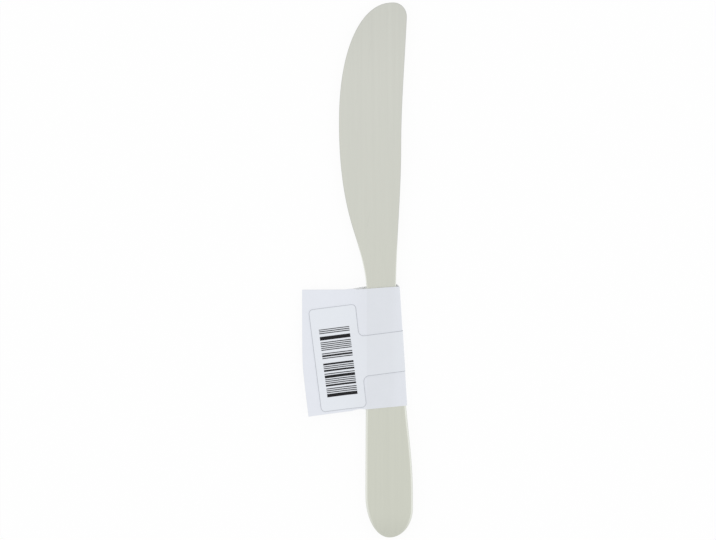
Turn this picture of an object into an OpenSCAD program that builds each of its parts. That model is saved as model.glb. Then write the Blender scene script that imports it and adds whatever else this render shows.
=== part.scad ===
// Butter knife: a one-piece steel table knife, with a folded paper band and a stuck-on label round its neck.
// It lies flat with +Y towards the tip of the blade, +X towards the back of the blade and +Z up.
// The origin is on the table, under the middle of the whole outline.

/* [Knife outline] */
// Length from the butt of the handle to the tip of the blade
knife_length = 196; // [180:1:220]
// Length from the tip of the blade to the narrowest place of the neck
blade_length = 106; // [96:1:116]
// Width of the blade at its widest place
blade_width = 22.9; // [18:0.1:27]
// Distance from the tip to the blade's widest place
belly_from_tip = 44; // [36:0.5:52]
// Width of the neck at its narrowest place
neck_width = 10.8; // [9:0.1:13]
// Distance from the neck to the middle of the heel, where the belly swings out
heel_from_neck = 23.4; // [18:0.2:30]
// Angle between the heel and the length of the knife
heel_angle = 17; // [10:0.5:25]
// Width of the handle at its widest place
handle_width = 17.4; // [15:0.1:20]
// Distance from the butt to the handle's widest place
handle_from_butt = 16; // [12:0.5:22]
// Angle at which the handle's back edge widens from the neck
flare_angle = 4.4; // [2:0.1:7]

/* [Knife back edge] */
// Place of the back edge at the tip, out from the line between butt and tip
back_at_tip = 6.1; // [4:0.1:8]
// Angle at which the back edge leans out at the tip
tip_lean = 2; // [0:0.1:4]
// Place of the back edge at the middle of the blade
back_at_blade = 3.8; // [2:0.1:6]
// Place of the back edge at the neck
back_at_neck = 1.9; // [0.5:0.1:3]
// Place of the back edge halfway along the flare of the handle
back_at_flare = 5.2; // [4:0.1:6.5]
// Place of the back edge at the handle's widest place
back_at_handle = 8.1; // [7:0.1:10]

/* [Knife ends] */
// Place of the topmost point of the tip, out from the line between butt and tip
tip_offset = 0.5; // [-2:0.1:2]
// Length of the rounded corner between the tip and the back edge
tip_corner = 4.8; // [3:0.1:8]
// Fullness of the belly's curve up to the tip, 2 for an ellipse
tip_fullness = 2.2; // [1.8:0.05:2.6]
// Place of the lowest point of the butt, out from the line between butt and tip
butt_offset = -0.5; // [-2:0.1:2]
// Length of the rounding of the butt on the back edge
butt_round_back = 10.7; // [8:0.1:14]
// Length of the rounding of the butt on the front edge
butt_round_front = 15.3; // [10:0.1:20]

/* [Knife thickness] */
// Thickness of the handle
handle_thickness = 3.2; // [2.5:0.1:4.5]
// Thickness of the neck
neck_thickness = 2.8; // [2.2:0.1:4]
// Thickness of the blade along its back edge
blade_back_thickness = 2; // [1.4:0.1:2.6]
// Thickness of the blade at the tip
tip_thickness = 1; // [0.8:0.1:1.6]
// Thickness of the blunt cutting edge
cutting_edge = 0.8; // [0.5:0.05:1.2]
// Radius of the rounded edges of the handle
handle_edge_radius = 1.1; // [0.5:0.05:1.3]
// Radius of the rounded edges of the blade
blade_edge_radius = 0.35; // [0.2:0.05:0.6]

/* [Paper band] */
// Thickness of the paper
paper_thickness = 0.25; // [0.15:0.05:0.4]
// Room between the paper and the knife, all round
band_slack = 0.2; // [0.15:0.05:0.5]
// Distance from the butt to the middle of the band
band_from_butt = 69.6; // [64:0.2:74]
// Turn of the band against the knife
band_tilt = 3.6; // [0:0.1:6]
// Height of the band where it goes round the knife
band_height = 44; // [36:0.1:48]
// Height of the band at the free end of its flag
band_height_flag = 46.8; // [36:0.1:52]
// Rise of the band's lower edge between the front edge of the knife and the fold
band_rise = 0.5; // [0:0.1:2]
// Height by which the lower panel stands above the upper one, along the fold
band_skew = 1; // [0:0.1:2]
// Reach of the flag past the front edge of the knife
flag_reach = 21.8; // [16:0.1:28]
// Bow of the flag's free end
flag_bow = 1.3; // [0:0.1:2]
// Distance by which the flag's free end leans in at its upper corner and out at its lower one
flag_lean = 0.4; // [-1:0.1:1]
// Length over which the two panels come together beside the knife
seam_run = 7.5; // [5:0.1:10]
// Inside radius of the two creases of the fold
crease_radius = 1; // [0.5:0.1:1.5]

/* [Label] */
// Thickness of the label
label_thickness = 0.1; // [0.05:0.01:0.2]
// Width of the label's wide part
label_width = 16.9; // [12:0.1:18]
// Height of the label's wide part
label_height = 37.8; // [24:0.1:39]
// Height of the label's tail
tail_height = 14.8; // [8:0.1:20]
// Length of the tail that is stuck to the back of the band
tail_wrap = 11; // [6:0.1:13]
// Turn of the label against the knife
label_tilt = 7.3; // [0:0.1:9]
// Distance from the free end of the flag to the label, at mid-height
label_margin = 4.6; // [3:0.1:6]
// Place of the label below the middle of the band
label_drop = 2.7; // [0:0.1:3]
// Radius of the label's outer corners
label_corner = 1.6; // [0.5:0.1:3]
// Radius of the inner corners beside the tail
tail_corner = 2; // [0.5:0.1:4]

/* [Hidden] */

// Places along the knife, from its middle
tip_y = knife_length / 2;
butt_y = -knife_length / 2;
belly_y = tip_y - belly_from_tip;
blade_y = tip_y - blade_length / 2;
neck_y = tip_y - blade_length;
heel_y = neck_y + heel_from_neck;
handle_y = butt_y + handle_from_butt;
flare_y = (neck_y + handle_y) / 2;
butt_round = max(butt_round_back, butt_round_front);

// A rail is a smooth curve along the knife through stations of [place, value, slope], from tip to butt
function span(stations, y, i = 0) =
    i == len(stations) - 2 || y >= stations[i + 1][0] ? i : span(stations, y, i + 1);
function bridge(a, b, t) =
    let (run = b[0] - a[0])
    a[1] * (1 + 2 * t) * (1 - t) ^ 2 + b[1] * (3 - 2 * t) * t ^ 2
    + run * (a[2] * t * (1 - t) ^ 2 - b[2] * (1 - t) * t ^ 2);
function rail(stations, y) =
    let (i = span(stations, y), a = stations[i], b = stations[i + 1])
    bridge(a, b, (y - a[0]) / (b[0] - a[0]));

// Drop of a rounded end: 0 where the rounding starts and 1 at the end of the knife
function rounding(t, fullness = 2) = t <= 0 ? 0 : 1 - (1 - min(t, 1) ^ fullness) ^ (1 / fullness);

back_rail = [
    [tip_y, back_at_tip, tan(tip_lean)],
    [blade_y, back_at_blade, 0],
    [neck_y, back_at_neck, 0],
    [flare_y, back_at_flare, -tan(flare_angle)],
    [handle_y, back_at_handle, 0],
    [butt_y, back_at_handle, 0],
];
belly_x = rail(back_rail, belly_y) - blade_width;
neck_front_x = back_at_neck - neck_width;
handle_front_x = back_at_handle - handle_width;
front_rail = [
    [tip_y, belly_x, 0],
    [belly_y, belly_x, 0],
    [heel_y, (belly_x + neck_front_x) / 2, -tan(heel_angle)],
    [neck_y, neck_front_x, 0],
    [handle_y, handle_front_x, 0],
    [butt_y, handle_front_x, 0],
];

// Edges of the knife seen from above: a rail less the rounding of the tip and of the butt
function back_x(y) =
    rail(back_rail, y)
    - (back_at_tip - tip_offset) * rounding((y - tip_y + tip_corner) / tip_corner)
    - (back_at_handle - butt_offset) * rounding((butt_y + butt_round_back - y) / butt_round_back);
function front_x(y) =
    rail(front_rail, y)
    + (tip_offset - belly_x) * rounding((y - belly_y) / belly_from_tip, tip_fullness)
    + (butt_offset - handle_front_x) * rounding((butt_y + butt_round_front - y) / butt_round_front);

// Thickness along the two edges, and the radius that rounds them
back_thickness = [
    [tip_y, tip_thickness, 0],
    [heel_y, blade_back_thickness, 0],
    [neck_y, neck_thickness, 0],
    [flare_y, handle_thickness, 0],
    [butt_y, handle_thickness, 0],
];
front_thickness = [
    [tip_y, tip_thickness, 0],
    [belly_y, cutting_edge, 0],
    [heel_y, cutting_edge, 0],
    [neck_y, neck_thickness, 0],
    [flare_y, handle_thickness, 0],
    [butt_y, handle_thickness, 0],
];
edge_radius = [
    [tip_y, blade_edge_radius, 0],
    [heel_y, blade_edge_radius, 0],
    [flare_y, handle_edge_radius, 0],
    [butt_y, handle_edge_radius, 0],
];
// Most of the half thickness that an edge's radius may take
edge_share = 0.95;

// Stations of the loft: close together round the tip and the butt, and even between them
tip_step = 5;
middle_count = 32;
butt_step = 7.5;
middle_run = belly_y - butt_y - butt_round;
loft_ys = concat(
    [for (a = [0 : tip_step : 90 - tip_step]) belly_y + belly_from_tip * cos(a)],
    [for (i = [0 : middle_count - 1]) belly_y - middle_run * i / middle_count],
    [for (a = [0 : butt_step : 90]) butt_y + butt_round * (1 - sin(a))]
);
last = len(loft_ys) - 1;

// The outline runs from the tip down the front edge to the butt and up the back edge
outline = concat(
    [for (y = loft_ys) [front_x(y), y]],
    [for (i = [last - 1 : -1 : 1]) [back_x(loft_ys[i]), loft_ys[i]]]
);
outline_count = len(outline);
edge_steps = 3;
chain_count = 2 * edge_steps + 2;

// One chain of points over the knife's edge at a point of the outline, from the upper face to the lower one
function inward(q) =
    let (t = outline[(q + 1) % outline_count] - outline[(q + outline_count - 1) % outline_count])
    [-t.y, t.x] / norm(t);
function edge_chain(q) =
    let (
        at = outline[q],
        half = rail(q <= last ? front_thickness : back_thickness, at.y) / 2,
        radius = min(rail(edge_radius, at.y), half * edge_share)
    )
    [for (side = [1, -1], k = [0 : edge_steps])
        let (
            angle = side > 0 ? 90 - 90 * k / edge_steps : -90 * k / edge_steps,
            foot = at + inward(q) * radius * (1 - cos(angle))
        )
        [foot.x, foot.y, side * (half - radius) + radius * sin(angle)]];
function corner_at(q, k) = (q % outline_count) * chain_count + k;
function quad(a, b, c, d) = [[a, b, c], [a, c, d]];
function flipped(faces) = [for (f = faces) [f[2], f[1], f[0]]];
function flat_face(k) = [
    [corner_at(0, k), corner_at(outline_count - 1, k), corner_at(1, k)],
    for (i = [1 : last - 2], f = quad(
        corner_at(i, k), corner_at(outline_count - i, k),
        corner_at(outline_count - i - 1, k), corner_at(i + 1, k)
    )) f,
    [corner_at(last - 1, k), corner_at(last + 1, k), corner_at(last, k)],
];
knife_points = [for (q = [0 : outline_count - 1], p = edge_chain(q)) p];
knife_faces = concat(
    [for (q = [0 : outline_count - 1], k = [0 : chain_count - 2], f = quad(
        corner_at(q, k), corner_at(q + 1, k), corner_at(q + 1, k + 1), corner_at(q, k + 1)
    )) f],
    flat_face(0),
    flipped(flat_face(chain_count - 1))
);

// The band's own frame: X across the knife to the fold, Y along the fold, Z up from the knife's mid-plane.
// The loop is as wide and as deep as the stretch of knife that it goes round, with the slack.
band_y = butt_y + band_from_butt;
band_samples = 24;
band_ys = [for (i = [0 : band_samples]) band_y + band_height_flag * (i / band_samples - 0.5)];
function turned_x(x, y) = x * cos(band_tilt) + (y - band_y) * sin(band_tilt);
fold_x = max([for (y = band_ys) turned_x(back_x(y), y)]) + band_slack;
loop_x = min([for (y = band_ys) turned_x(front_x(y), y)]) - band_slack;
loop_half = max([for (y = band_ys) rail(back_thickness, y)]) / 2 + band_slack;
flag_x = loop_x - flag_reach;
middle_z = loop_half + paper_thickness + label_thickness;

// A line on the loop's upper half, so far out from its inside: the slope beside the knife, then the crease
seam_steps = 10;
crease_steps = 5;
function ease(t) = (3 - 2 * t) * t ^ 2;
function slope_line(out) =
    [for (i = [0 : seam_steps])
        let (t = i / seam_steps)
        [loop_x - seam_run * (1 - t), loop_half * ease(t) + out]];
function crease_line(out) =
    [for (i = [0 : crease_steps])
        let (
            angle = 90 - 90 * i / crease_steps,
            center = [fold_x - crease_radius, loop_half - crease_radius]
        )
        center + (crease_radius + out) * [cos(angle), sin(angle)]];
function upper_line(out) = concat(slope_line(out), crease_line(out));
function reversed(list) = [for (i = [len(list) - 1 : -1 : 0]) list[i]];
function below(points) = [for (p = reversed(points)) [p.x, -p.y]];

// The strip and the label run on this far past what trims them
trim = 1;

// Seen from above, the band narrows a little to the fold and widens along the flag, whose free end is bowed
bow_steps = 8;
past_fold_x = fold_x + paper_thickness + label_thickness + trim;
function end_y(x) =
    (band_height + (band_height_flag - band_height) * max(0, loop_x - x) / flag_reach) / 2;
band_plan = concat(
    [[loop_x, -band_height / 2], [past_fold_x, band_rise - band_height / 2]],
    [[past_fold_x, band_height / 2], [loop_x, band_height / 2]],
    [for (i = [0 : bow_steps])
        let (t = 1 - 2 * i / bow_steps)
        [flag_x + flag_bow * t ^ 2 + flag_lean * t, end_y(flag_x + flag_bow) * t]]
);

// The label seen from above, about the middle of its wide part, with the tail running out past the fold
label_x = flag_x + label_margin + label_width / 2;
label_turn = label_tilt - band_tilt;
tail_end_x = (past_fold_x - label_x) / cos(label_turn);
corner_steps = 4;
function arc(center, radius, from, to) =
    [for (i = [0 : corner_steps])
        let (a = from + (to - from) * i / corner_steps)
        center + radius * [cos(a), sin(a)]];
label_upper_half = concat(
    [[tail_end_x, tail_height / 2]],
    arc([label_width / 2 + tail_corner, tail_height / 2 + tail_corner], tail_corner, 270, 180),
    arc([label_width / 2 - label_corner, label_height / 2 - label_corner], label_corner, 0, 90),
    arc([label_corner - label_width / 2, label_height / 2 - label_corner], label_corner, 90, 180)
);
label_plan = concat(label_upper_half, below(label_upper_half));

// The whole outline's middle comes over the origin
function placed_x(p) = p.x * cos(band_tilt) - p.y * sin(band_tilt);
middle_x = (min([for (p = band_plan) placed_x(p)]) + max([for (p = outline) p.x])) / 2;

steel = [0.8, 0.81, 0.77];
paper = [0.89, 0.91, 0.95];
label_white = [0.93, 0.94, 0.97];

module at_knife() {
    translate([-middle_x, 0, middle_z]) children();
}

module at_band() {
    at_knife() translate([0, band_y, 0]) rotate([0, 0, band_tilt]) children();
}

// A section of the loop drawn out along the fold, longer than the band
module along_fold() {
    length = 2 * band_height_flag;
    translate([0, length / 2, 0]) rotate([90, 0, 0]) linear_extrude(length) children();
}

// A plan cut right through the band, deeper than the loop: straight above the knife's mid-plane,
// and slid along the fold below it, so that the lower panel stands above the upper one
module through_band() {
    depth = 2 * middle_z;
    slide = -band_skew / loop_half;
    linear_extrude(depth) children();
    multmatrix([[1, 0, 0, 0], [0, 1, slide, 0], [0, 0, 1, 0]])
        translate([0, 0, -depth]) linear_extrude(depth) children();
}

module knife() {
    color(steel) at_knife() polyhedron(knife_points, knife_faces);
}

module paper_band() {
    inside = upper_line(0);
    outside = concat([[flag_x - trim, paper_thickness]], upper_line(paper_thickness));
    color(paper) at_band() intersection() {
        along_fold() difference() {
            polygon(concat(outside, below(outside)));
            polygon(concat(inside, below(inside)));
        }
        through_band() polygon(band_plan);
    }
}

// One layer on the outside of the band: over the flag and upper panel, round the fold and under the neck
module label() {
    function label_line(out) = concat(
        [[flag_x, out]], upper_line(out),
        below(crease_line(out)), [[fold_x - tail_wrap, -loop_half - out]]
    );
    under = paper_thickness;
    over = paper_thickness + label_thickness;
    color(label_white) at_band() intersection() {
        along_fold() polygon(concat(label_line(under), reversed(label_line(over))));
        through_band() translate([label_x, -label_drop]) rotate(label_turn) polygon(label_plan);
    }
}

knife();
paper_band();
label();
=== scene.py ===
"""Looks of the butter knife: satin steel, and a folded paper band with a stuck-on label round its neck."""

import logging
import math
from collections.abc import Iterable, Mapping, Sequence
from dataclasses import dataclass
from enum import Enum
from typing import Any

import bmesh
import bpy
import numpy as np
from bpy.types import Material, Mesh, NodeSocket, NodeTree, Object
from mathutils import Matrix, Vector


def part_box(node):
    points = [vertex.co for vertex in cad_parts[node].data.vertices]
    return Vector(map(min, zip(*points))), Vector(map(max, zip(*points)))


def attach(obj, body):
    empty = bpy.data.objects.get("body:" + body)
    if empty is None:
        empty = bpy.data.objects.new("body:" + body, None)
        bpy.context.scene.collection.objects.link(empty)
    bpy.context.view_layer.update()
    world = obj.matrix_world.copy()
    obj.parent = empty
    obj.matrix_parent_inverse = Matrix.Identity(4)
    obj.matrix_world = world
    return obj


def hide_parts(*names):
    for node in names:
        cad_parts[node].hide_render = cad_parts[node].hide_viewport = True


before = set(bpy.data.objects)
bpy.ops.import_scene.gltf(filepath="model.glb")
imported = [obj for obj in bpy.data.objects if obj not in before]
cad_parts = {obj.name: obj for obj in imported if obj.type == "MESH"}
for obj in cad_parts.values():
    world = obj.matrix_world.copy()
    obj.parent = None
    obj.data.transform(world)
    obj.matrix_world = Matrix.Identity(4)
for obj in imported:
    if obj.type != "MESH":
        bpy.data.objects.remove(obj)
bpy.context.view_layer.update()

MM = 0.001
QUARTER = math.pi / 2
LOG = logging.getLogger("butter_knife")

WHITE = (1.0, 1.0, 1.0)

Triple = tuple[float, float, float]
Color = Triple
Point = tuple[float, float]
Points = list[Point]


class Body(Enum):
    """The two bodies of the frame that pieces ride on."""

    KNIFE = "knife"
    BAND = "band"


class Slot(Enum):
    """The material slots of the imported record."""

    STEEL = "steel"
    BAND_PAPER = "band_paper"
    LABEL_PAPER = "label_paper"


class Trait(Enum):
    """Values that a mesh carries at its points for its material to read."""

    EDGE = "edge"
    FLAT = "flat"


class Signal:
    """An output socket that Python expressions can be written with."""

    def __init__(self, graph: "Graph", socket: NodeSocket) -> None:
        """Keeps the socket and the graph that it belongs to."""
        self.graph = graph
        self.socket = socket

    def sibling(self, name: str) -> "Signal":
        """Another output of the same node."""
        return Signal(self.graph, self.socket.node.outputs[name])

    def math(self, operation: str, first: "Value", second: "Value" = 0.0) -> "Signal":
        """Adds one Math node, whose operation takes one operand or two."""
        return self.graph.add("ShaderNodeMath", {0: first, 1: second}, operation=operation)

    def __add__(self, other: "Value") -> "Signal":
        """This plus other."""
        return self.math("ADD", self, other)

    __radd__ = __add__

    def __sub__(self, other: "Value") -> "Signal":
        """This less other."""
        return self.math("SUBTRACT", self, other)

    def __rsub__(self, other: "Value") -> "Signal":
        """Other less this."""
        return self.math("SUBTRACT", other, self)

    def __mul__(self, other: "Value") -> "Signal":
        """This times other."""
        return self.math("MULTIPLY", self, other)

    __rmul__ = __mul__

    def __truediv__(self, other: "Value") -> "Signal":
        """This over other."""
        return self.math("DIVIDE", self, other)

    def __rtruediv__(self, other: "Value") -> "Signal":
        """Other over this."""
        return self.math("DIVIDE", other, self)

    def __abs__(self) -> "Signal":
        """This without its sign."""
        return self.math("ABSOLUTE", self)

    def at_least(self, low: "Value") -> "Signal":
        """The larger of this and low."""
        return self.math("MAXIMUM", self, low)

    def floor(self) -> "Signal":
        """The whole part of this."""
        return self.math("FLOOR", self)

    def ramp(self, low: float, high: float) -> "Signal":
        """A soft step from 0 at low to 1 at high, and a falling one where high is the lower of them."""
        sockets = {"Value": self, "From Min": low, "From Max": high}
        return self.graph.add("ShaderNodeMapRange", sockets, interpolation_type="SMOOTHSTEP", clamp=True)


Value = Signal | float | Triple
Sockets = Mapping[str | int, Value]


class Graph:
    """Adds nodes to one node tree."""

    MIX_FACTOR, MIX_A, MIX_B, MIX_RESULT = 0, 6, 7, 2

    def __init__(self, tree: NodeTree) -> None:
        """Keeps the tree, emptied of its first nodes."""
        self.tree = tree
        tree.nodes.clear()

    def add(
        self, kind: str, sockets: Sockets | None = None, output: str | int = 0, **settings: Any
    ) -> Signal:
        """Adds a node of any kind.

        Args:
            kind: The node's type.
            sockets: Values, plain colours or links of its inputs, by name or number.
            output: The output that is wanted.
            settings: The node's own settings, which are set first.

        Returns:
            That output, or the node's first input wrapped where it has no outputs.
        """
        node = self.tree.nodes.new(kind)
        for name, value in settings.items():
            setattr(node, name, value)
        for key, value in (sockets or {}).items():
            socket = node.inputs[key]
            if isinstance(value, Signal):
                self.tree.links.new(value.socket, socket)
            else:
                socket.default_value = (*value, 1.0) if socket.type == "RGBA" else value
        return Signal(self, node.outputs[output] if node.outputs else node.inputs[0])

    def mix(self, factor: Value, first: Value, second: Value, blend: str = "MIX") -> Signal:
        """Mixes two colours, with the factor as the share of the second one."""
        sockets = {self.MIX_FACTOR: factor, self.MIX_A: first, self.MIX_B: second}
        return self.add("ShaderNodeMix", sockets, self.MIX_RESULT, data_type="RGBA", blend_type=blend)

    def noise(self, place: Value, waves: Triple, detail: float = 2.0) -> Signal:
        """Noise about 0.5, with so many waves in a metre along each axis, and so many finer layers."""
        scaled = self.add("ShaderNodeVectorMath", {0: place, 1: waves}, operation="MULTIPLY")
        return self.add("ShaderNodeTexNoise", {"Vector": scaled, "Scale": 1.0, "Detail": detail})

    def axis(self, vector: Value, name: str) -> Signal:
        """One part of a vector, with the other two as its siblings."""
        return self.add("ShaderNodeSeparateXYZ", {"Vector": vector}, name)

    def toned(self, color: Value, tone: Signal) -> Signal:
        """A colour made lighter or darker by a tone about 1."""
        gray = self.add("ShaderNodeCombineColor", {0: tone, 1: tone, 2: tone})
        return self.mix(1.0, color, gray, "MULTIPLY")

    def trait(self, trait: Trait, output: str) -> Signal:
        """A value that the mesh carries at its points."""
        return self.add("ShaderNodeAttribute", {}, output, attribute_name=trait.value)

    def bump(self, height: Value, depth: float, strength: float) -> Signal:
        """A normal pushed by a height, so deep in metres at full strength."""
        return self.add("ShaderNodeBump", {"Height": height, "Distance": depth, "Strength": strength})


def material_graph(name: str) -> tuple[Material, Graph]:
    """A new material with an empty tree.

    Args:
        name: The material's name.

    Returns:
        The material and its graph.
    """
    material = bpy.data.materials.new(name)
    material.use_nodes = True
    return material, Graph(material.node_tree)


def cover(graph: Graph, sockets: Sockets) -> None:
    """Ends a material's tree in one surface shader with these values or links."""
    shader = graph.add("ShaderNodeBsdfPrincipled", sockets)
    graph.add("ShaderNodeOutputMaterial", {"Surface": shader})


@dataclass(frozen=True)
class SatinSteel:
    """Steel brushed along the knife, with a painted highlight on the handle's rounded edges, painted shade
    on the blade's edges, and a little darker towards both ends.
    """

    blade_color: Color = (0.629, 0.637, 0.585)
    butt_color: Color = (0.607, 0.619, 0.543)
    # Painted shade on the blade's edges, and a painted highlight on the handle's rounded edges.
    painted_rim_color: Color = (0.5, 0.51, 0.475)
    rim_highlight_color: Color = (0.716, 0.728, 0.675)
    rim_range: Point = (0.05, 0.5)
    rim_fade: float = 12 * MM
    butt_shade: float = 0.065
    butt_fade: float = 10 * MM
    tip_shade: float = 0.035
    tip_fade: float = 30 * MM
    roughness: float = 0.34
    edge_roughness: float = 0.22
    grain_waves: Triple = (7000.0, 90.0, 7000.0)
    streak_waves: Triple = (900.0, 14.0, 900.0)
    patch_waves: Triple = (60.0, 30.0, 60.0)
    scratch_waves: Triple = (2600.0, 70.0, 2600.0)
    scratch_turn: float = math.radians(11.0)
    scratch_range: Point = (0.70, 0.76)
    tone_swing: float = 0.06
    # Painted shade over the seam and the steel, and along the cut edges.
    scratch_tone: float = 0.05
    rough_swing: float = 0.1
    scratch_rough: float = 0.06
    streak_relief: float = 0.5
    scratch_relief: float = 0.6
    relief_strength: float = 0.12
    grain_depth: float = 0.02 * MM
    # Painted shade over the seam and the steel, and a darker painted shadow along the die-cut edge.

    def material(self, butt_y: float, tip_y: float, blade_y: float) -> Material:
        """Builds the steel.

        Args:
            butt_y: Where the handle ends.
            tip_y: Where the blade ends.
            blade_y: Where the blade's thin edges begin.

        Returns:
            The material.
        """
        material, graph = material_graph("satin_steel")
        place = graph.add("ShaderNodeTexCoord", output="Object")
        along = graph.axis(place, "Y")
        edge = graph.trait(Trait.EDGE, "Fac")
        grain = graph.noise(place, self.grain_waves, detail=3.0)
        streak = graph.noise(place, self.streak_waves)
        patch = graph.noise(place, self.patch_waves)
        sockets = {"Vector": place, "Angle": self.scratch_turn}
        turned = graph.add("ShaderNodeVectorRotate", sockets, rotation_type="Z_AXIS")
        scratch = graph.noise(turned, self.scratch_waves).ramp(*self.scratch_range)

        butt_end = along.ramp(butt_y + self.butt_fade, butt_y)
        tip_end = along.ramp(tip_y - self.tip_fade, tip_y)
        on_blade = along.ramp(blade_y - self.rim_fade, blade_y)
        warm = graph.mix(along.ramp(tip_y, butt_y), self.blade_color, self.butt_color)
        # Painted highlight on the handle's edges and painted shade on the blade's edges, fading out at the
        # butt.
        painted_rim_color = graph.mix(on_blade, self.rim_highlight_color, self.painted_rim_color)
        rimmed = graph.mix(edge.ramp(*self.rim_range) * (1 - butt_end), warm, painted_rim_color)
        # Darker towards both ends, and where scratched.
        darkening = self.butt_shade * butt_end + self.tip_shade * tip_end + self.scratch_tone * scratch
        color = graph.toned(rimmed, 1 - self.tone_swing + self.tone_swing * (grain + streak) - darkening)
        wear_and_edge_shade = self.roughness + self.rough_swing * (grain + patch - 1) + self.scratch_rough * scratch
        rough = wear_and_edge_shade - (self.roughness - self.edge_roughness) * edge
        height = grain + self.streak_relief * streak - self.scratch_relief * scratch
        relief = graph.bump(height, self.grain_depth, self.relief_strength)
        cover(graph, {"Base Color": color, "Metallic": 1.0, "Roughness": rough, "Normal": relief})
        return material


@dataclass(frozen=True)
class Paper:
    """Uncoated paper, with painted shade along its cut edges, over the seam's slope and where the steel
    shows through, that eases off near the fold as painted light, and painted light on the inner faces of
    its fold.
    """

    name: str
    color: Color
    # Painted shade over the seam and where the steel shows through, painted shade along the cut edges, and
    # painted light on the fold's inner faces, in this order.
    shaded_color: Color
    edge_color: Color
    inside_light_color: Color = (0.97, 0.98, 0.995)
    roughness: float = 0.62
    gloss: float = 0.25
    fibre_waves: Triple = (2400.0, 900.0, 2400.0)
    cloud_waves: Triple = (160.0, 160.0, 160.0)
    tone_swing: float = 0.03
    rough_swing: float = 0.2
    cloud_relief: float = 0.5
    relief_strength: float = 0.25
    fibre_depth: float = 0.03 * MM
    shade_blur: float = 0.5 * MM
    seam_share: float = 0.5
    seam_reach: float = 9 * MM
    fold_share: float = 0.4
    fold_reach: float = 4 * MM
    open_depth: float = 0.5 * MM

    def material(self, steel: Triple, ink: "BarBlock | None" = None) -> Material:
        """Builds the paper.

        Args:
            steel: Where the steel behind the paper begins and ends, and the height of its mid-plane.
            ink: The block of bars printed on it, where it has one.

        Returns:
            The material.
        """
        material, graph = material_graph(self.name)
        flat = graph.trait(Trait.FLAT, "Vector")
        fibre = graph.noise(flat, self.fibre_waves, detail=4.0)
        cloud = graph.noise(flat, self.cloud_waves, detail=3.0)
        place = graph.add("ShaderNodeTexCoord", output="Object")
        across = graph.axis(place, "X")
        begin, end, middle_z = steel
        # Painted shade over the seam's slope and where the steel shows through, eased off near the fold as
        # painted light.
        seam_shade = self.seam_share * across.ramp(begin - self.seam_reach, begin)
        over_steel = across.ramp(begin - self.shade_blur, begin + self.shade_blur)
        fold_light = self.fold_share * across.ramp(end - self.fold_reach, end)
        painted_shade = over_steel.at_least(seam_shade) * (1 - fold_light)
        # Painted light on the inner faces of the fold.
        facing = graph.axis(place.sibling("Normal"), "Z")
        inward = facing * (middle_z - across.sibling("Z"))
        inside = inward.ramp(self.open_depth, 2 * self.open_depth)
        outer = graph.mix(painted_shade, self.color, self.shaded_color)
        # Painted shade along the cut edges.
        edged = graph.mix(graph.trait(Trait.EDGE, "Fac"), outer, self.edge_color)
        base = graph.mix(inside, edged, self.inside_light_color)
        color = graph.toned(base, 1 - self.tone_swing + self.tone_swing * (fibre + cloud))
        rough = self.roughness + self.rough_swing * (fibre - 0.5)
        if ink is not None:
            inked = ink.cover(graph, flat, fibre)
            color = graph.mix(inked, color, ink.color)
            rough = rough - ink.smoothing * inked
        relief = graph.bump(fibre + self.cloud_relief * cloud, self.fibre_depth, self.relief_strength)
        sockets = {"Base Color": color, "Roughness": rough, "Normal": relief}
        cover(graph, sockets | {"Specular IOR Level": self.gloss})
        return material


@dataclass(frozen=True)
class BarBlock:
    """A generic block of printed bars of mixed widths, worked out by chance from a fixed seed."""

    color: Color = (0.004, 0.004, 0.006)
    smoothing: float = 0.1
    middle: Point = (-0.1 * MM, -1.3 * MM)
    bar_length: float = 11.4 * MM
    stack: float = 25.0 * MM
    module: float = 0.34 * MM
    bar_share: float = 0.74
    gap_share: float = 0.16
    seed: float = 17.0
    fuzz: float = 0.03 * MM

    def cover(self, graph: Graph, flat: Signal, fibre: Signal) -> Signal:
        """Share of ink at each place of the label.

        Args:
            graph: The label's graph.
            flat: Places on the flat label, from its middle.
            fibre: The paper's fibre, which roughens the print.

        Returns:
            1 under ink and 0 on bare paper.
        """
        across = graph.axis(flat, "X")
        up = across.sibling("Y") + self.fuzz * (fibre - 0.5)
        cell = (up / self.module).floor() + self.seed
        chance = graph.add("ShaderNodeTexWhiteNoise", {"W": cell}, "Value", noise_dimensions="1D")
        odd = cell.math("FLOORED_MODULO", cell, 2.0)
        bar = chance.math("LESS_THAN", chance, self.gap_share + (self.bar_share - self.gap_share) * odd)
        half_length, half_stack = self.bar_length / 2, self.stack / 2
        beside = abs(across - self.middle[0]).ramp(half_length, half_length - self.fuzz)
        above = abs(up - self.middle[1]).ramp(half_stack, half_stack - self.fuzz)
        return bar * (beside * above)


@dataclass(frozen=True)
class Rail:
    """A smooth curve through stations of place, value and slope along the knife, from tip to butt."""

    stations: tuple[Triple, ...]

    def at(self, y: float) -> float:
        """The rail's value.

        Args:
            y: Place along the knife.

        Returns:
            The value there.
        """
        spans = list(zip(self.stations, self.stations[1:]))
        first, second = next((span for span in spans if y >= span[1][0]), spans[-1])
        run = second[0] - first[0]
        t = (y - first[0]) / run
        ends = first[1] * (1 + 2 * t) * (1 - t) ** 2 + second[1] * (3 - 2 * t) * t**2
        return ends + run * (first[2] * t * (1 - t) ** 2 - second[2] * (1 - t) * t**2)


def rounding(t: float, fullness: float = 2.0) -> float:
    """Drop of a rounded end, from 0 to 1 as t goes from 0 to 1; an ellipse's for a fullness of 2."""
    return 0.0 if t <= 0 else 1 - (1 - min(t, 1.0) ** fullness) ** (1 / fullness)


def steps(count: int) -> list[float]:
    """Even steps from 0 to 1, both included."""
    return [i / count for i in range(count + 1)]


def distinct(places: Iterable[float]) -> list[float]:
    """Places in order, each of them once to a tenth of a micrometre."""
    return sorted({round(float(place), 7) for place in places})


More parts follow.
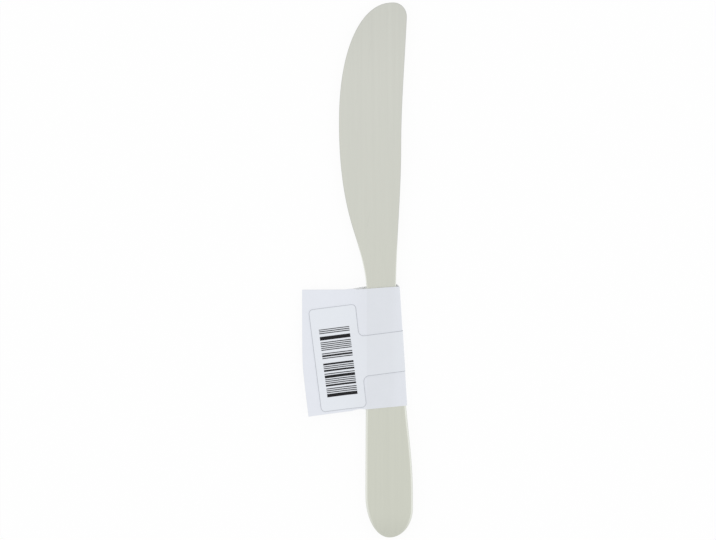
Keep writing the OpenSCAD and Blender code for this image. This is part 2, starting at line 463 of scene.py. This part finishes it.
def put_object(name: str, data: bpy.types.ID) -> Object:
    """Puts a mesh, a curve, a lamp or a camera into the scene.

    Args:
        name: The name of the new object.
        data: What it shows.

    Returns:
        The object.
    """
    made = bpy.data.objects.new(name, data)
    bpy.context.scene.collection.objects.link(made)
    return made


def give_trait(mesh: Mesh, trait: Trait, values: Sequence[float]) -> None:
    """Stores one number at each point of a mesh, in order, or three where the trait is a place."""
    kind, field = ("FLOAT_VECTOR", "vector") if trait is Trait.FLAT else ("FLOAT", "value")
    mesh.attributes.new(trait.value, kind, "POINT").data.foreach_set(field, values)


@dataclass
class Knife:
    """The one-piece steel knife."""

    low: Vector
    high: Vector
    blade_length: float = 106 * MM
    blade_width: float = 22.9 * MM
    belly_from_tip: float = 44 * MM
    neck_width: float = 10.8 * MM
    heel_from_neck: float = 23.4 * MM
    heel_slope: float = math.tan(math.radians(17))
    handle_width: float = 17.4 * MM
    handle_from_butt: float = 16 * MM
    flare_slope: float = math.tan(math.radians(4.4))
    back_at_tip: float = 6.1 * MM
    tip_slope: float = math.tan(math.radians(2))
    back_at_blade: float = 3.8 * MM
    back_at_neck: float = 1.9 * MM
    back_at_flare: float = 5.2 * MM
    back_at_handle: float = 8.1 * MM
    tip_offset: float = 1 * MM
    tip_corner: float = 5.5 * MM
    tip_fullness: float = 2.2
    butt_offset: float = -0.5 * MM
    butt_round_back: float = 10.7 * MM
    butt_round_front: float = 15.3 * MM
    neck_thickness: float = 2.8 * MM
    blade_back_thickness: float = 2 * MM
    tip_thickness: float = 1 * MM
    cutting_edge: float = 0.8 * MM
    handle_edge_radius: float = 1.1 * MM
    blade_edge_radius: float = 0.35 * MM
    edge_share: float = 0.95
    tip_rows: int = 40
    middle_rows: int = 130
    butt_rows: int = 24
    edge_steps: int = 7
    edge_support: float = 0.06 * MM
    columns: int = 8

    def __post_init__(self) -> None:
        """Works out the places and the rails along the knife."""
        self.axis_x = self.high.x - self.back_at_handle
        self.middle_z = (self.low.z + self.high.z) / 2
        self.handle_thickness = self.high.z - self.low.z
        self.tip_y, self.butt_y = self.high.y, self.low.y
        self.belly_y = self.tip_y - self.belly_from_tip
        self.neck_y = self.tip_y - self.blade_length
        self.heel_y = self.neck_y + self.heel_from_neck
        self.handle_y = self.butt_y + self.handle_from_butt
        self.flare_y = (self.neck_y + self.handle_y) / 2
        self.lay_edge_rails()
        self.lay_thickness_rails()

    def lay_edge_rails(self) -> None:
        """Lays the rails of the two edges, seen from above."""
        self.back_rail = Rail((
            (self.tip_y, self.back_at_tip, self.tip_slope),
            (self.tip_y - self.blade_length / 2, self.back_at_blade, 0),
            (self.neck_y, self.back_at_neck, 0),
            (self.flare_y, self.back_at_flare, -self.flare_slope),
            (self.handle_y, self.back_at_handle, 0),
            (self.butt_y, self.back_at_handle, 0),
        ))
        self.belly_x = self.back_rail.at(self.belly_y) - self.blade_width
        self.handle_front_x = self.back_at_handle - self.handle_width
        neck_front_x = self.back_at_neck - self.neck_width
        self.front_rail = Rail((
            (self.tip_y, self.belly_x, 0),
            (self.belly_y, self.belly_x, 0),
            (self.heel_y, (self.belly_x + neck_front_x) / 2, -self.heel_slope),
            (self.neck_y, neck_front_x, 0),
            (self.handle_y, self.handle_front_x, 0),
            (self.butt_y, self.handle_front_x, 0),
        ))

    def lay_thickness_rails(self) -> None:
        """Lays the rails of the thickness along both edges and of the edges' radius."""
        grip = (
            (self.neck_y, self.neck_thickness, 0),
            (self.flare_y, self.handle_thickness, 0),
            (self.butt_y, self.handle_thickness, 0),
        )
        tip = (self.tip_y, self.tip_thickness, 0)
        self.back_thickness = Rail((tip, (self.heel_y, self.blade_back_thickness, 0), *grip))
        ground = ((self.belly_y, self.cutting_edge, 0), (self.heel_y, self.cutting_edge, 0))
        self.front_thickness = Rail((tip, *ground, *grip))
        self.edge_radius = Rail((
            (self.tip_y, self.blade_edge_radius, 0),
            (self.heel_y, self.blade_edge_radius, 0),
            (self.flare_y, self.handle_edge_radius, 0),
            (self.butt_y, self.handle_edge_radius, 0),
        ))

    def back_x(self, y: float) -> float:
        """Place of the back edge.

        Args:
            y: Place along the knife.

        Returns:
            The distance out from the knife's axis.
        """
        corner = rounding((y - self.tip_y + self.tip_corner) / self.tip_corner)
        butt = rounding((self.butt_y + self.butt_round_back - y) / self.butt_round_back)
        tip_cut = (self.back_at_tip - self.tip_offset) * corner
        return self.back_rail.at(y) - tip_cut - (self.back_at_handle - self.butt_offset) * butt

    def front_x(self, y: float) -> float:
        """Place of the front edge.

        Args:
            y: Place along the knife.

        Returns:
            The distance out from the knife's axis.
        """
        belly = rounding((y - self.belly_y) / self.belly_from_tip, self.tip_fullness)
        butt = rounding((self.butt_y + self.butt_round_front - y) / self.butt_round_front)
        tip_cut = (self.tip_offset - self.belly_x) * belly
        return self.front_rail.at(y) + tip_cut + (self.butt_offset - self.handle_front_x) * butt

    def rows(self) -> list[float]:
        """Works out the rows of points, close together at the rounded ends.

        Returns:
            Places of the rows, from the tip to the butt.
        """
        butt_round = max(self.butt_round_back, self.butt_round_front)
        butt_start = self.butt_y + butt_round
        tip = [self.belly_y + self.belly_from_tip * math.cos(t * QUARTER) for t in steps(self.tip_rows)]
        middle = [self.belly_y + (butt_start - self.belly_y) * t for t in steps(self.middle_rows)]
        butt = [butt_start - butt_round * math.sin(t * QUARTER) for t in steps(self.butt_rows)]
        return tip[:-1] + middle[:-1] + butt

    def outline(self) -> tuple[np.ndarray, int]:
        """The outline from the tip down the front edge and up the back edge.

        Returns:
            The outline's points, and the number of the one at the butt.
        """
        ys = self.rows()
        front = [(self.front_x(y), y) for y in ys]
        back = [(self.back_x(y), y) for y in ys[-2:0:-1]]
        return np.array(front + back), len(ys) - 1

    def edge_chain(self, at: np.ndarray, inward: np.ndarray, half: float) -> list[Vector]:
        """Points over the rounded edge at one point of the outline, from the upper face to the lower one.

        Args:
            at: The point of the outline.
            inward: Direction into the knife.
            half: Half the thickness there.

        Returns:
            The points.
        """
        radius = min(self.edge_radius.at(at[1]), half * self.edge_share)
        chain = []
        for side in (1, -1):
            for t in steps(self.edge_steps):
                angle = QUARTER * ((1 - t) if side > 0 else -t)
                foot = at + inward * radius * (1 - math.cos(angle))
                rise = side * (half - radius) + radius * math.sin(angle)
                chain.append(Vector((foot[0] + self.axis_x, foot[1], rise + self.middle_z)))
        return chain

    def build(self, finish: SatinSteel) -> Object:
        """Builds the knife.

        Args:
            finish: Its steel.

        Returns:
            The piece.
        """
        outline, last = self.outline()
        count = len(outline)
        chain_count = 2 * (self.edge_steps + 1)
        edge = [1 - abs(1 - 2 * k / (chain_count - 1)) for k in range(chain_count)] * count
        points: list[Vector] = []
        for number, at in enumerate(outline):
            along = outline[(number + 1) % count] - outline[number - 1]
            inward = np.array((-along[1], along[0])) / np.linalg.norm(along)
            thickness = self.front_thickness if number <= last else self.back_thickness
            points += self.edge_chain(at, inward, thickness.at(at[1]) / 2)
        faces = []
        for number in range(count):
            here, there = number * chain_count, (number + 1) % count * chain_count
            faces += [(here + k, here + k + 1, there + k + 1, there + k) for k in range(chain_count - 1)]
        for level in (0, chain_count - 1):
            self.close_face(points, faces, last, level, chain_count)
        edge += [0.0] * (len(points) - len(edge))
        mesh = bpy.data.meshes.new("knife")
        mesh.from_pydata(points, [], faces)
        give_trait(mesh, Trait.EDGE, edge)
        mesh.shade_smooth()
        mesh.materials.append(finish.material(self.butt_y, self.tip_y, self.heel_y))
        return put_object("knife_steel", mesh)

    def close_face(
        self, points: list[Vector], faces: list[tuple[int, ...]], last: int, level: int, chain_count: int
    ) -> None:
        """Closes one broad face of the knife with rows of four-sided faces.

        Args:
            points: The knife's points, which the face's inner ones are added to.
            faces: The knife's faces, which the new ones are added to.
            last: Number of the outline's point at the butt, half way round.
            level: Place in each chain that the face starts from.
            chain_count: How many points each chain has.
        """
        rows = []
        for i in range(1, last):
            front, back = i * chain_count + level, (2 * last - i) * chain_count + level
            support = self.edge_support / (points[front] - points[back]).length
            inner = [support + (1 - 2 * support) * t for t in steps(self.columns)]
            numbers = range(len(points), len(points) + len(inner))
            points += [points[front].lerp(points[back], t) for t in inner]
            rows.append([front, *numbers, back])
        tip, butt = level, last * chain_count + level
        made = [(tip, a, b) for a, b in zip(rows[0], rows[0][1:])]
        made += [(butt, b, a) for a, b in zip(rows[-1], rows[-1][1:])]
        for upper, lower in zip(rows, rows[1:]):
            made += [(lower[c], lower[c + 1], upper[c + 1], upper[c]) for c in range(len(upper) - 1)]
        faces += made if level == 0 else [face[::-1] for face in made]


@dataclass
class Loop:
    """The line that the folded strip follows across the knife, in the band's own frame."""

    knife: Knife
    low: Vector
    high: Vector
    paper: float = 0.25 * MM
    slack: float = 0.2 * MM
    fold_slack: float = 0.08 * MM
    from_butt: float = 69.6 * MM
    tilt: float = math.radians(3.6)
    flag_reach: float = 21.78 * MM
    seam_run: float = 7.5 * MM
    crease_radius: float = 1 * MM
    height: float = 44 * MM
    height_flag: float = 46.8 * MM
    rise: float = 0.5 * MM
    top_rise: float = 0.12 * MM
    notch: float = 0.4 * MM
    swell: float = 0.25 * MM
    bend_from_knife: float = 2.2 * MM
    bend_reach: float = 3.2 * MM
    skew: float = 0.75 * MM
    flag_drop: float = 0.25 * MM
    lift: float = 0.22 * MM
    twist: float = -0.022
    samples: int = 24
    seam_steps: int = 30
    crease_steps: int = 12

    def __post_init__(self) -> None:
        """Fits the loop round the knife as the frame has it."""
        knife = self.knife
        self.middle_y = knife.butt_y + self.from_butt
        ys = [self.middle_y + self.height_flag * (t - 0.5) for t in steps(self.samples)]
        self.fold_x = max(self.turned_x(knife.back_x(y), y) for y in ys) + self.fold_slack
        self.loop_x = min(self.turned_x(knife.front_x(y), y) for y in ys) - self.slack
        self.half = (self.high.z - self.low.z) / 2 - self.paper
        self.flag_x = self.loop_x - self.flag_reach
        self.root_x = self.loop_x - self.seam_run
        front, back = knife.front_x(self.middle_y), knife.back_x(self.middle_y)
        self.steel = (knife.axis_x + front, knife.axis_x + back, knife.middle_z)
        turn = Matrix.Rotation(self.tilt, 4, "Z")
        self.place = Matrix.Translation((knife.axis_x, self.middle_y, knife.middle_z)) @ turn

    def turned_x(self, x: float, y: float) -> float:
        """Place across the band of a point of the knife."""
        return x * math.cos(self.tilt) + (y - self.middle_y) * math.sin(self.tilt)

    def upper_line(self, out: float) -> Points:
        """The upper half of the loop, from the free end of the flag to the middle of the fold.

        Args:
            out: Distance out from the loop's inside face.

        Returns:
            Points across and above the knife's mid-plane.
        """
        seam = [
            (self.root_x + self.seam_run * t, self.half * (3 - 2 * t) * t**2 + out)
            for t in steps(self.seam_steps)
        ]
        radius = self.crease_radius + out
        center = (self.fold_x - self.crease_radius, self.half - self.crease_radius)
        crease = [
            (center[0] + radius * math.sin(turn), center[1] + radius * math.cos(turn))
            for turn in (t * QUARTER for t in steps(self.crease_steps))
        ]
        return [(self.flag_x, out), *seam, *crease]

    def whole_line(self, out: float) -> Points:
        """The whole loop, from one free end over the knife, round the fold and back to the other."""
        upper = self.upper_line(out)
        return upper + [(x, -z) for x, z in reversed(upper)]

    def ends_y(self, x: float, front: bool) -> Point:
        """The band's lower and upper edge.

        Args:
            x: Place across the band.
            front: Whether it is the front panel or the back one.

        Returns:
            Places of the two edges along the fold.
        """
        share = max(0.0, self.loop_x - x) / self.flag_reach
        half = (self.height + (self.height_flag - self.height) * share) / 2
        toward_fold = max(0.0, x - self.loop_x) / (self.fold_x - self.loop_x)
        from_bend = (x - self.loop_x + self.bend_from_knife) / self.bend_reach
        bend = max(0.0, 1 - from_bend**2) ** 2
        low = self.rise * toward_fold + self.notch * bend - half
        high = half - self.flag_drop * share + self.top_rise * toward_fold
        return low, high + self.swell * bend if front else high


def lengths_along(line: Points) -> np.ndarray:
    """Distance from a line's start to each of its points."""
    legs = np.linalg.norm(np.diff(np.array(line), axis=0), axis=1)
    return np.concatenate(([0.0], np.cumsum(legs)))


@dataclass
class BendingTree:
    """A Geometry Nodes tree that bends a flat paper blank along a line, as a hand folds it."""

    INPUTS = {
        "Blank": "Geometry",
        "Line": "Object",
        "Flag Root": "Float",
        "Flag Length": "Float",
        "Fold": "Float",
        "Slide": "Float",
        "Lift": "Float",
        "Twist": "Float",
        "Finish": "Material",
    }
    slide_from: float = 1.7 * MM
    slide_to: float = 11.2 * MM
    fold_taper: float = 1.0 * MM
    sharp_angle: float = math.radians(50)

    def __post_init__(self) -> None:
        """Builds the tree."""
        self.tree = bpy.data.node_groups.new("bend_blank", "GeometryNodeTree")
        face = self.tree.interface
        self.keys = {
            name: face.new_socket(name, in_out="INPUT", socket_type="NodeSocket" + kind).identifier
            for name, kind in self.INPUTS.items()
        }
        face.new_socket("Bent", in_out="OUTPUT", socket_type="NodeSocketGeometry")
        graph = Graph(self.tree)
        given = graph.add("NodeGroupInput")
        inputs = (given.sibling(name) for name in self.INPUTS)
        blank, line, root, length, fold, slide, lift, twist, finish = inputs
        curve = graph.add("GeometryNodeObjectInfo", {"Object": line}, "Geometry")
        flat = graph.axis(graph.add("GeometryNodeInputPosition"), "X")
        sockets, settings = {"Curves": curve, "Length": flat}, {"mode": "LENGTH", "use_all_curves": True}
        across = graph.axis(graph.add("GeometryNodeSampleCurve", sockets, "Position", **settings), "X")
        along, height = flat.sibling("Y"), across.sibling("Z")
        reach = ((root - across) / length).at_least(0.0)
        rise = reach * reach * (lift + twist * along)
        open_share = (across - root).ramp(self.slide_from, self.slide_to)
        open_share *= (fold - across).ramp(0.0, self.fold_taper)
        slid = along + slide * open_share * (0.0 - height).at_least(0.0)
        place = graph.add("ShaderNodeCombineXYZ", {"X": across, "Y": slid, "Z": height + rise})
        bent = graph.add("GeometryNodeSetPosition", {0: blank, "Position": place})
        smooth = graph.add("GeometryNodeSetShadeSmooth", {0: bent})
        real = graph.add("GeometryNodeRealizeInstances", {0: smooth})
        dressed = graph.add("GeometryNodeSetMaterial", {0: real, "Material": finish})
        graph.add("NodeGroupOutput", {0: dressed})

    def bend(
        self, name: str, blank: Mesh, loop: Loop, line: Points, thickness: float, finish: Material
    ) -> Object:
        """Bends a blank along a line, gives it its thickness and puts it round the knife.

        Args:
            name: The piece's name.
            blank: The flat blank, with X along the line and Y along the fold.
            loop: The loop that the line belongs to.
            line: The line.
            thickness: The paper's thickness.
            finish: Its material.

        Returns:
            The piece.
        """
        curve = bpy.data.curves.new(name + "_line", "CURVE")
        curve.dimensions = "3D"
        spline = curve.splines.new("POLY")
        spline.points.add(len(line) - 1)
        for point, (x, z) in zip(spline.points, line):
            point.co = (x, 0.0, z, 1.0)
        follow, source = put_object(name + "_line", curve), put_object(name + "_blank", blank)
        bending = source.modifiers.new("bend", "NODES")
        bending.node_group = self.tree
        values = {
            "Line": follow,
            "Flag Root": loop.root_x,
            "Flag Length": loop.root_x - loop.flag_x,
            "Fold": loop.fold_x + loop.paper,
            "Slide": loop.skew / loop.half,
            "Lift": loop.lift,
            "Twist": loop.twist,
            "Finish": finish,
        }
        for socket, value in values.items():
            bending[self.keys[socket]] = value
        wall = source.modifiers.new("wall", "SOLIDIFY")
        wall.thickness, wall.offset = thickness, 0.0
        graph = bpy.context.evaluated_depsgraph_get()
        bent = source.evaluated_get(graph)
        mesh = bpy.data.meshes.new_from_object(bent, preserve_all_data_layers=True, depsgraph=graph)
        mesh.name = name
        mesh.transform(loop.place)
        mesh.set_sharp_from_angle(angle=self.sharp_angle)
        for helper in (follow, source):
            bpy.data.objects.remove(helper)
        return put_object(name, mesh)


@dataclass
class PaperBand:
    """The paper strip folded round the knife, with its two ends stuck together as a flag."""

    loop: Loop
    end_slant: float = 1.4 * MM
    end_turn: float = -0.2
    end_round: float = 0.15
    shown_thickness: float = 0.23 * MM
    edge_width: float = 0.15 * MM
    coarse: float = 0.6 * MM
    rows: int = 28

    def end_inset(self, level: float) -> float:
        """How far the free end stands back at a level from -1 to 1, in two slants with a soft turn."""
        return self.end_slant * (math.hypot(level - self.end_turn, self.end_round) - self.end_round)

    def columns(self, lengths: np.ndarray) -> list[float]:
        """Works out the columns of points, close together where the strip bends and ends.

        Args:
            lengths: Places of the line's points.

        Returns:
            Places of the columns along the strip.
        """
        whole, edge = float(lengths[-1]), self.edge_width
        even = np.linspace(0.0, whole, int(whole / self.coarse))
        inner = [place for place in distinct((*even, *lengths)) if 2 * edge < place < whole - 2 * edge]
        return [0.0, edge, *inner, whole - edge, whole]

    def blank(self, line: Points) -> Mesh:
        """The flat strip.

        Args:
            line: The line that it will follow.

        Returns:
            Its mesh, with X along the line and Y along the fold.
        """
        loop = self.loop
        lengths = lengths_along(line)
        whole = float(lengths[-1])
        flag = loop.root_x - loop.flag_x
        columns = self.columns(lengths)
        inner = 1 - 2 * self.edge_width / loop.height
        levels = [-1.0, *[inner * (2 * t - 1) for t in steps(self.rows)], 1.0]
        points, wear_and_edge_shade = [], []
        across = np.interp(columns, lengths, [x for x, _ in line])
        for place, x in zip(columns, across):
            end_share = max(0.0, 1 - min(place, whole - place) / flag)
            front = place < whole / 2
            toward = 1 if front else -1
            low, high = loop.ends_y(x, front)
            for level in levels:
                inset = toward * self.end_inset(level) * end_share
                points.append((place + inset, (low + high + level * (high - low)) / 2, 0.0))
                # Marks the cut edges for the painted edge shade.
                wear_and_edge_shade.append(float(abs(level) == 1 or place in (0.0, whole)))
        wide = len(levels)
        faces = [
            (i * wide + j, (i + 1) * wide + j, (i + 1) * wide + j + 1, i * wide + j + 1)
            for i in range(len(columns) - 1)
            for j in range(wide - 1)
        ]
        mesh = bpy.data.meshes.new("band_blank")
        mesh.from_pydata(points, [], faces)
        give_trait(mesh, Trait.EDGE, wear_and_edge_shade)
        give_trait(mesh, Trait.FLAT, [part for point in points for part in point])
        return mesh

    def build(self, tree: BendingTree, finish: Paper) -> Object:
        """Builds the band.

        Args:
            tree: What bends the blank.
            finish: Its paper.

        Returns:
            The piece.
        """
        loop = self.loop
        line = loop.whole_line(loop.paper / 2)
        material = finish.material(loop.steel)
        return tree.bend("paper_strip", self.blank(line), loop, line, self.shown_thickness, material)


def rounded_outline(corners: Sequence[Triple], count: int) -> Points:
    """An outline with each of its corners rounded.

    Args:
        corners: Place and radius of each corner, in order.
        count: Steps in each rounding.

    Returns:
        The outline's points.
    """
    made: Points = []
    for number, (x, y, radius) in enumerate(corners):
        corner = Vector((x, y))
        before = (Vector(corners[number - 1][:2]) - corner).normalized()
        after = (Vector(corners[(number + 1) % len(corners)][:2]) - corner).normalized()
        center = corner + (before + after) * radius
        start, end = -after * radius, -before * radius
        for t in steps(count):
            turn = t * QUARTER
            spot = center + start * math.cos(turn) + end * math.sin(turn)
            made.append((spot.x, spot.y))
    return made


@dataclass
class Label:
    """The die-cut label stuck over the flag, with a tail that runs round the fold to the back."""

    loop: Loop
    thickness: float = 0.1 * MM
    film: float = 0.01 * MM
    width: float = 17.3 * MM
    height: float = 37.8 * MM
    tail_height: float = 14.8 * MM
    tail_drop: float = 0.4 * MM
    lean: float = 0.35 * MM
    tail_wrap: float = 11 * MM
    spare: float = 2 * MM
    tilt: float = math.radians(7.3)
    margin: float = 4.5 * MM
    drop: float = 2.7 * MM
    corner: float = 1.6 * MM
    tail_corner: float = 2 * MM
    edge_width: float = 0.25 * MM
    slices: float = 0.3 * MM
    weld: float = 0.01 * MM
    snap: float = 1e-6 * MM
    corner_steps: int = 8

    def line(self) -> Points:
        """The line that the label follows.

        Returns:
            Points along the outside of the band, as far as just past the end of the tail.
        """
        loop = self.loop
        upper = loop.upper_line(loop.paper + self.thickness / 2)
        lower = [(x, -z) for x, z in reversed(upper)][: loop.crease_steps + 1]
        return upper + lower + [(loop.fold_x - self.tail_wrap - self.spare, lower[-1][1])]

    def outline(self, tail_end: float, inset: float) -> Points:
        """The label's outline about the middle of its wide part.

        Args:
            tail_end: How far out the tail reaches.
            inset: How far inside the cut edge the outline runs.

        Returns:
            The outline's points.
        """
        side, top, half_tail = (size / 2 - inset for size in (self.width, self.height, self.tail_height))
        corner = self.corner - inset
        inner = self.tail_corner + inset
        high, low = half_tail - self.tail_drop, -half_tail - self.tail_drop
        lean = self.lean / top
        upper = [(tail_end - inset, high, corner), (side + lean * high, high, inner)]
        lower = [(side + lean * low, low, inner), (tail_end - inset, low, corner)]
        corners = [(side + self.lean, top), (-side, top), (-side, -top), (side - self.lean, -top)]
        wide = [(x, y, corner) for x, y in corners]
        return rounded_outline(upper + wide + lower, self.corner_steps)

    def blank(self, line: Points) -> Mesh:
        """The flat label, cut into slices that can bend.

        Args:
            line: The line that it will follow.

        Returns:
            Its mesh, with X along the line and Y along the fold.
        """
        loop = self.loop
        lengths = lengths_along(line)
        ahead = len(line) - loop.crease_steps - 2
        middle_x = loop.flag_x + self.margin + self.width / 2
        middle = float(np.interp(middle_x, [x for x, _ in line[:ahead]], lengths[:ahead]))
        tail_end = (float(lengths[-1]) - self.spare - middle) / math.cos(self.tilt - loop.tilt)
        sheet = bmesh.new()
        wear_and_edge_shade = sheet.verts.layers.float.new(Trait.EDGE.value)
        places = sheet.verts.layers.float_vector.new(Trait.FLAT.value)
        rim = [sheet.verts.new((x, y, 0.0)) for x, y in self.outline(tail_end, 0.0)]
        field = [sheet.verts.new((x, y, 0.0)) for x, y in self.outline(tail_end, self.edge_width)]
        sheet.faces.new(field)
        for i in range(len(rim)):
            sheet.faces.new((rim[i - 1], rim[i], field[i], field[i - 1]))
        # The cut rim gets the painted edge shadow.
        for vert in rim:
            vert[wear_and_edge_shade] = 1.0
        for vert in sheet.verts:
            vert[places] = vert.co.copy()
        bmesh.ops.transform(sheet, matrix=self.on_strip(middle), verts=sheet.verts)
        self.slice(sheet, lengths)
        bmesh.ops.remove_doubles(sheet, verts=sheet.verts, dist=self.weld)
        mesh = bpy.data.meshes.new("label_blank")
        sheet.to_mesh(mesh)
        sheet.free()
        return mesh

    def on_strip(self, middle: float) -> Matrix:
        """Where the flat label lies on the flat strip."""
        turn = Matrix.Rotation(self.tilt - self.loop.tilt, 4, "Z")
        return Matrix.Translation((middle, -self.drop, 0.0)) @ turn

    def slice(self, sheet: bmesh.types.BMesh, lengths: np.ndarray) -> None:
        """Cuts the flat label across at even places and at every point of its line.

        Args:
            sheet: The flat label.
            lengths: Places of the line's points.
        """
        across = [vert.co.x for vert in sheet.verts]
        low, high = min(across), max(across)
        even = np.arange(low, high, self.slices)
        for place in distinct(at for at in (*even, *lengths) if low < at < high):
            geometry = [*sheet.verts, *sheet.edges, *sheet.faces]
            plane = {"plane_co": (place, 0.0, 0.0), "plane_no": (1.0, 0.0, 0.0)}
            bmesh.ops.bisect_plane(sheet, geom=geometry, dist=self.snap, **plane)

    def build(self, tree: BendingTree, finish: Paper, ink: BarBlock) -> Object:
        """Builds the label.

        Args:
            tree: What bends the blank.
            finish: Its paper.
            ink: What is printed on it.

        Returns:
            The piece.
        """
        line = self.line()
        shown = self.thickness - self.film
        material = finish.material(self.loop.steel, ink)
        return tree.bend("paper_label", self.blank(line), self.loop, line, shown, material)


@dataclass(frozen=True)
class Softbox:
    """A large soft lamp beside the table."""

    name: str
    place: Triple
    size: Point
    watts_per_area: float

    def build(self) -> None:
        """Hangs the lamp, facing the knife."""
        lamp = bpy.data.lights.new(self.name, "AREA")
        lamp.shape = "RECTANGLE"
        lamp.size, lamp.size_y = self.size
        lamp.energy = self.watts_per_area * self.size[0] * self.size[1]
        hung = put_object(self.name, lamp)
        hung.location = self.place
        hung.rotation_euler = (-Vector(self.place)).to_track_quat("-Z", "Y").to_euler()


@dataclass
class Studio:
    """White table, soft light and the camera straight above."""

    view_width: float = 262.46 * MM
    focal_length: float = 85.0
    sensor: float = 36.0
    camera_over: Point = (0.31 * MM, -0.04 * MM)
    clip: Point = (0.01, 10.0)
    table_size: float = 4.0
    table_color: Color = (0.98, 0.98, 0.98)
    glow_share: float = 0.9
    sky_level: float = 0.932
    lamps: tuple[Softbox, ...] = (
        Softbox("left_softbox", (-1.3, 0.2, 0.5), (1.6, 0.8), 0.68),
        Softbox("right_softbox", (1.3, -0.2, 0.5), (1.6, 0.8), 0.68),
    )

    def build(self, focus_z: float) -> None:
        """Sets up the table, the light and the camera.

        Args:
            focus_z: Height of the knife's mid-plane.
        """
        self.lay_table()
        self.light_sky()
        for lamp in self.lamps:
            lamp.build()
        self.hang_camera(focus_z)
        bpy.context.scene.view_settings.view_transform = "Standard"

    @staticmethod
    def seen(graph: Graph) -> Signal:
        """1 where a thing is seen itself or in metal or glass, and 0 where it only lights others."""
        path = graph.add("ShaderNodeLightPath", output="Is Camera Ray")
        return path.at_least(path.sibling("Is Glossy Ray")).at_least(path.sibling("Is Transmission Ray"))

    def lay_table(self) -> None:
        """Lays a white table that mostly glows to the eye and keeps a soft shadow."""
        half = self.table_size / 2
        mesh = bpy.data.meshes.new("table")
        corners = [(-half, -half, 0.0), (half, -half, 0.0), (half, half, 0.0), (-half, half, 0.0)]
        mesh.from_pydata(corners, [], [(0, 1, 2, 3)])
        material, graph = material_graph("white_table")
        matte = graph.add("ShaderNodeBsdfDiffuse", {"Color": self.table_color})
        glow = graph.add("ShaderNodeEmission", {"Color": WHITE})
        share = self.seen(graph) * self.glow_share
        both = graph.add("ShaderNodeMixShader", {0: share, 1: matte, 2: glow})
        graph.add("ShaderNodeOutputMaterial", {"Surface": both})
        material.cycles.emission_sampling = "NONE"
        mesh.materials.append(material)
        put_object("table", mesh)

    def light_sky(self) -> None:
        """Gives the room an even white light, and white to what mirrors it."""
        world = bpy.data.worlds.new("white_room")
        world.use_nodes = True
        world.cycles.sampling_method = "NONE"
        bpy.context.scene.world = world
        graph = Graph(world.node_tree)
        level = self.sky_level + (1 - self.sky_level) * self.seen(graph)
        sky = graph.add("ShaderNodeBackground", {"Color": WHITE, "Strength": level})
        graph.add("ShaderNodeOutputWorld", {"Surface": sky})

    def hang_camera(self, focus_z: float) -> None:
        """Hangs the camera over the table, with the blade pointing up in the picture.

        Args:
            focus_z: Height at which the picture has its width.
        """
        lens = bpy.data.cameras.new("camera")
        lens.lens, lens.sensor_width = self.focal_length, self.sensor
        lens.clip_start, lens.clip_end = self.clip
        camera = put_object("camera", lens)
        camera.location = (*self.camera_over, focus_z + self.view_width * self.focal_length / self.sensor)
        bpy.context.scene.camera = camera


def place_piece(piece: Object, body: Body, node: str) -> None:
    """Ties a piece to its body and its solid.

    Args:
        piece: The piece.
        body: The body that it rides on.
        node: The solid that it stands for.
    """
    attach(piece, body.value)
    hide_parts(node)
    LOG.info("%s: %d faces on %s", piece.name, len(piece.data.polygons), body.value)


def main() -> None:
    """Builds the studio, the knife, the band and the label."""
    logging.basicConfig(level=logging.INFO)
    knife = Knife(*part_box("knife"))
    Studio().build(knife.middle_z)
    place_piece(knife.build(SatinSteel()), Body.KNIFE, "knife")

    loop = Loop(knife, *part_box("paper_band"))
    tree = BendingTree()
    band_paper = Paper(
        name="band_paper",
        color=(0.813, 0.838, 0.898),
        shaded_color=(0.757, 0.781, 0.828),
        edge_color=(0.74, 0.76, 0.80),
    )
    place_piece(PaperBand(loop).build(tree, band_paper), Body.BAND, "paper_band")
    label_paper = Paper(
        name="label_paper",
        color=(0.813, 0.844, 0.895),
        shaded_color=(0.765, 0.79, 0.835),
        edge_color=(0.38, 0.40, 0.44),
        roughness=0.5,
    )
    place_piece(Label(loop).build(tree, label_paper, BarBlock()), Body.BAND, "label")


if __name__ == "__main__":
    main()
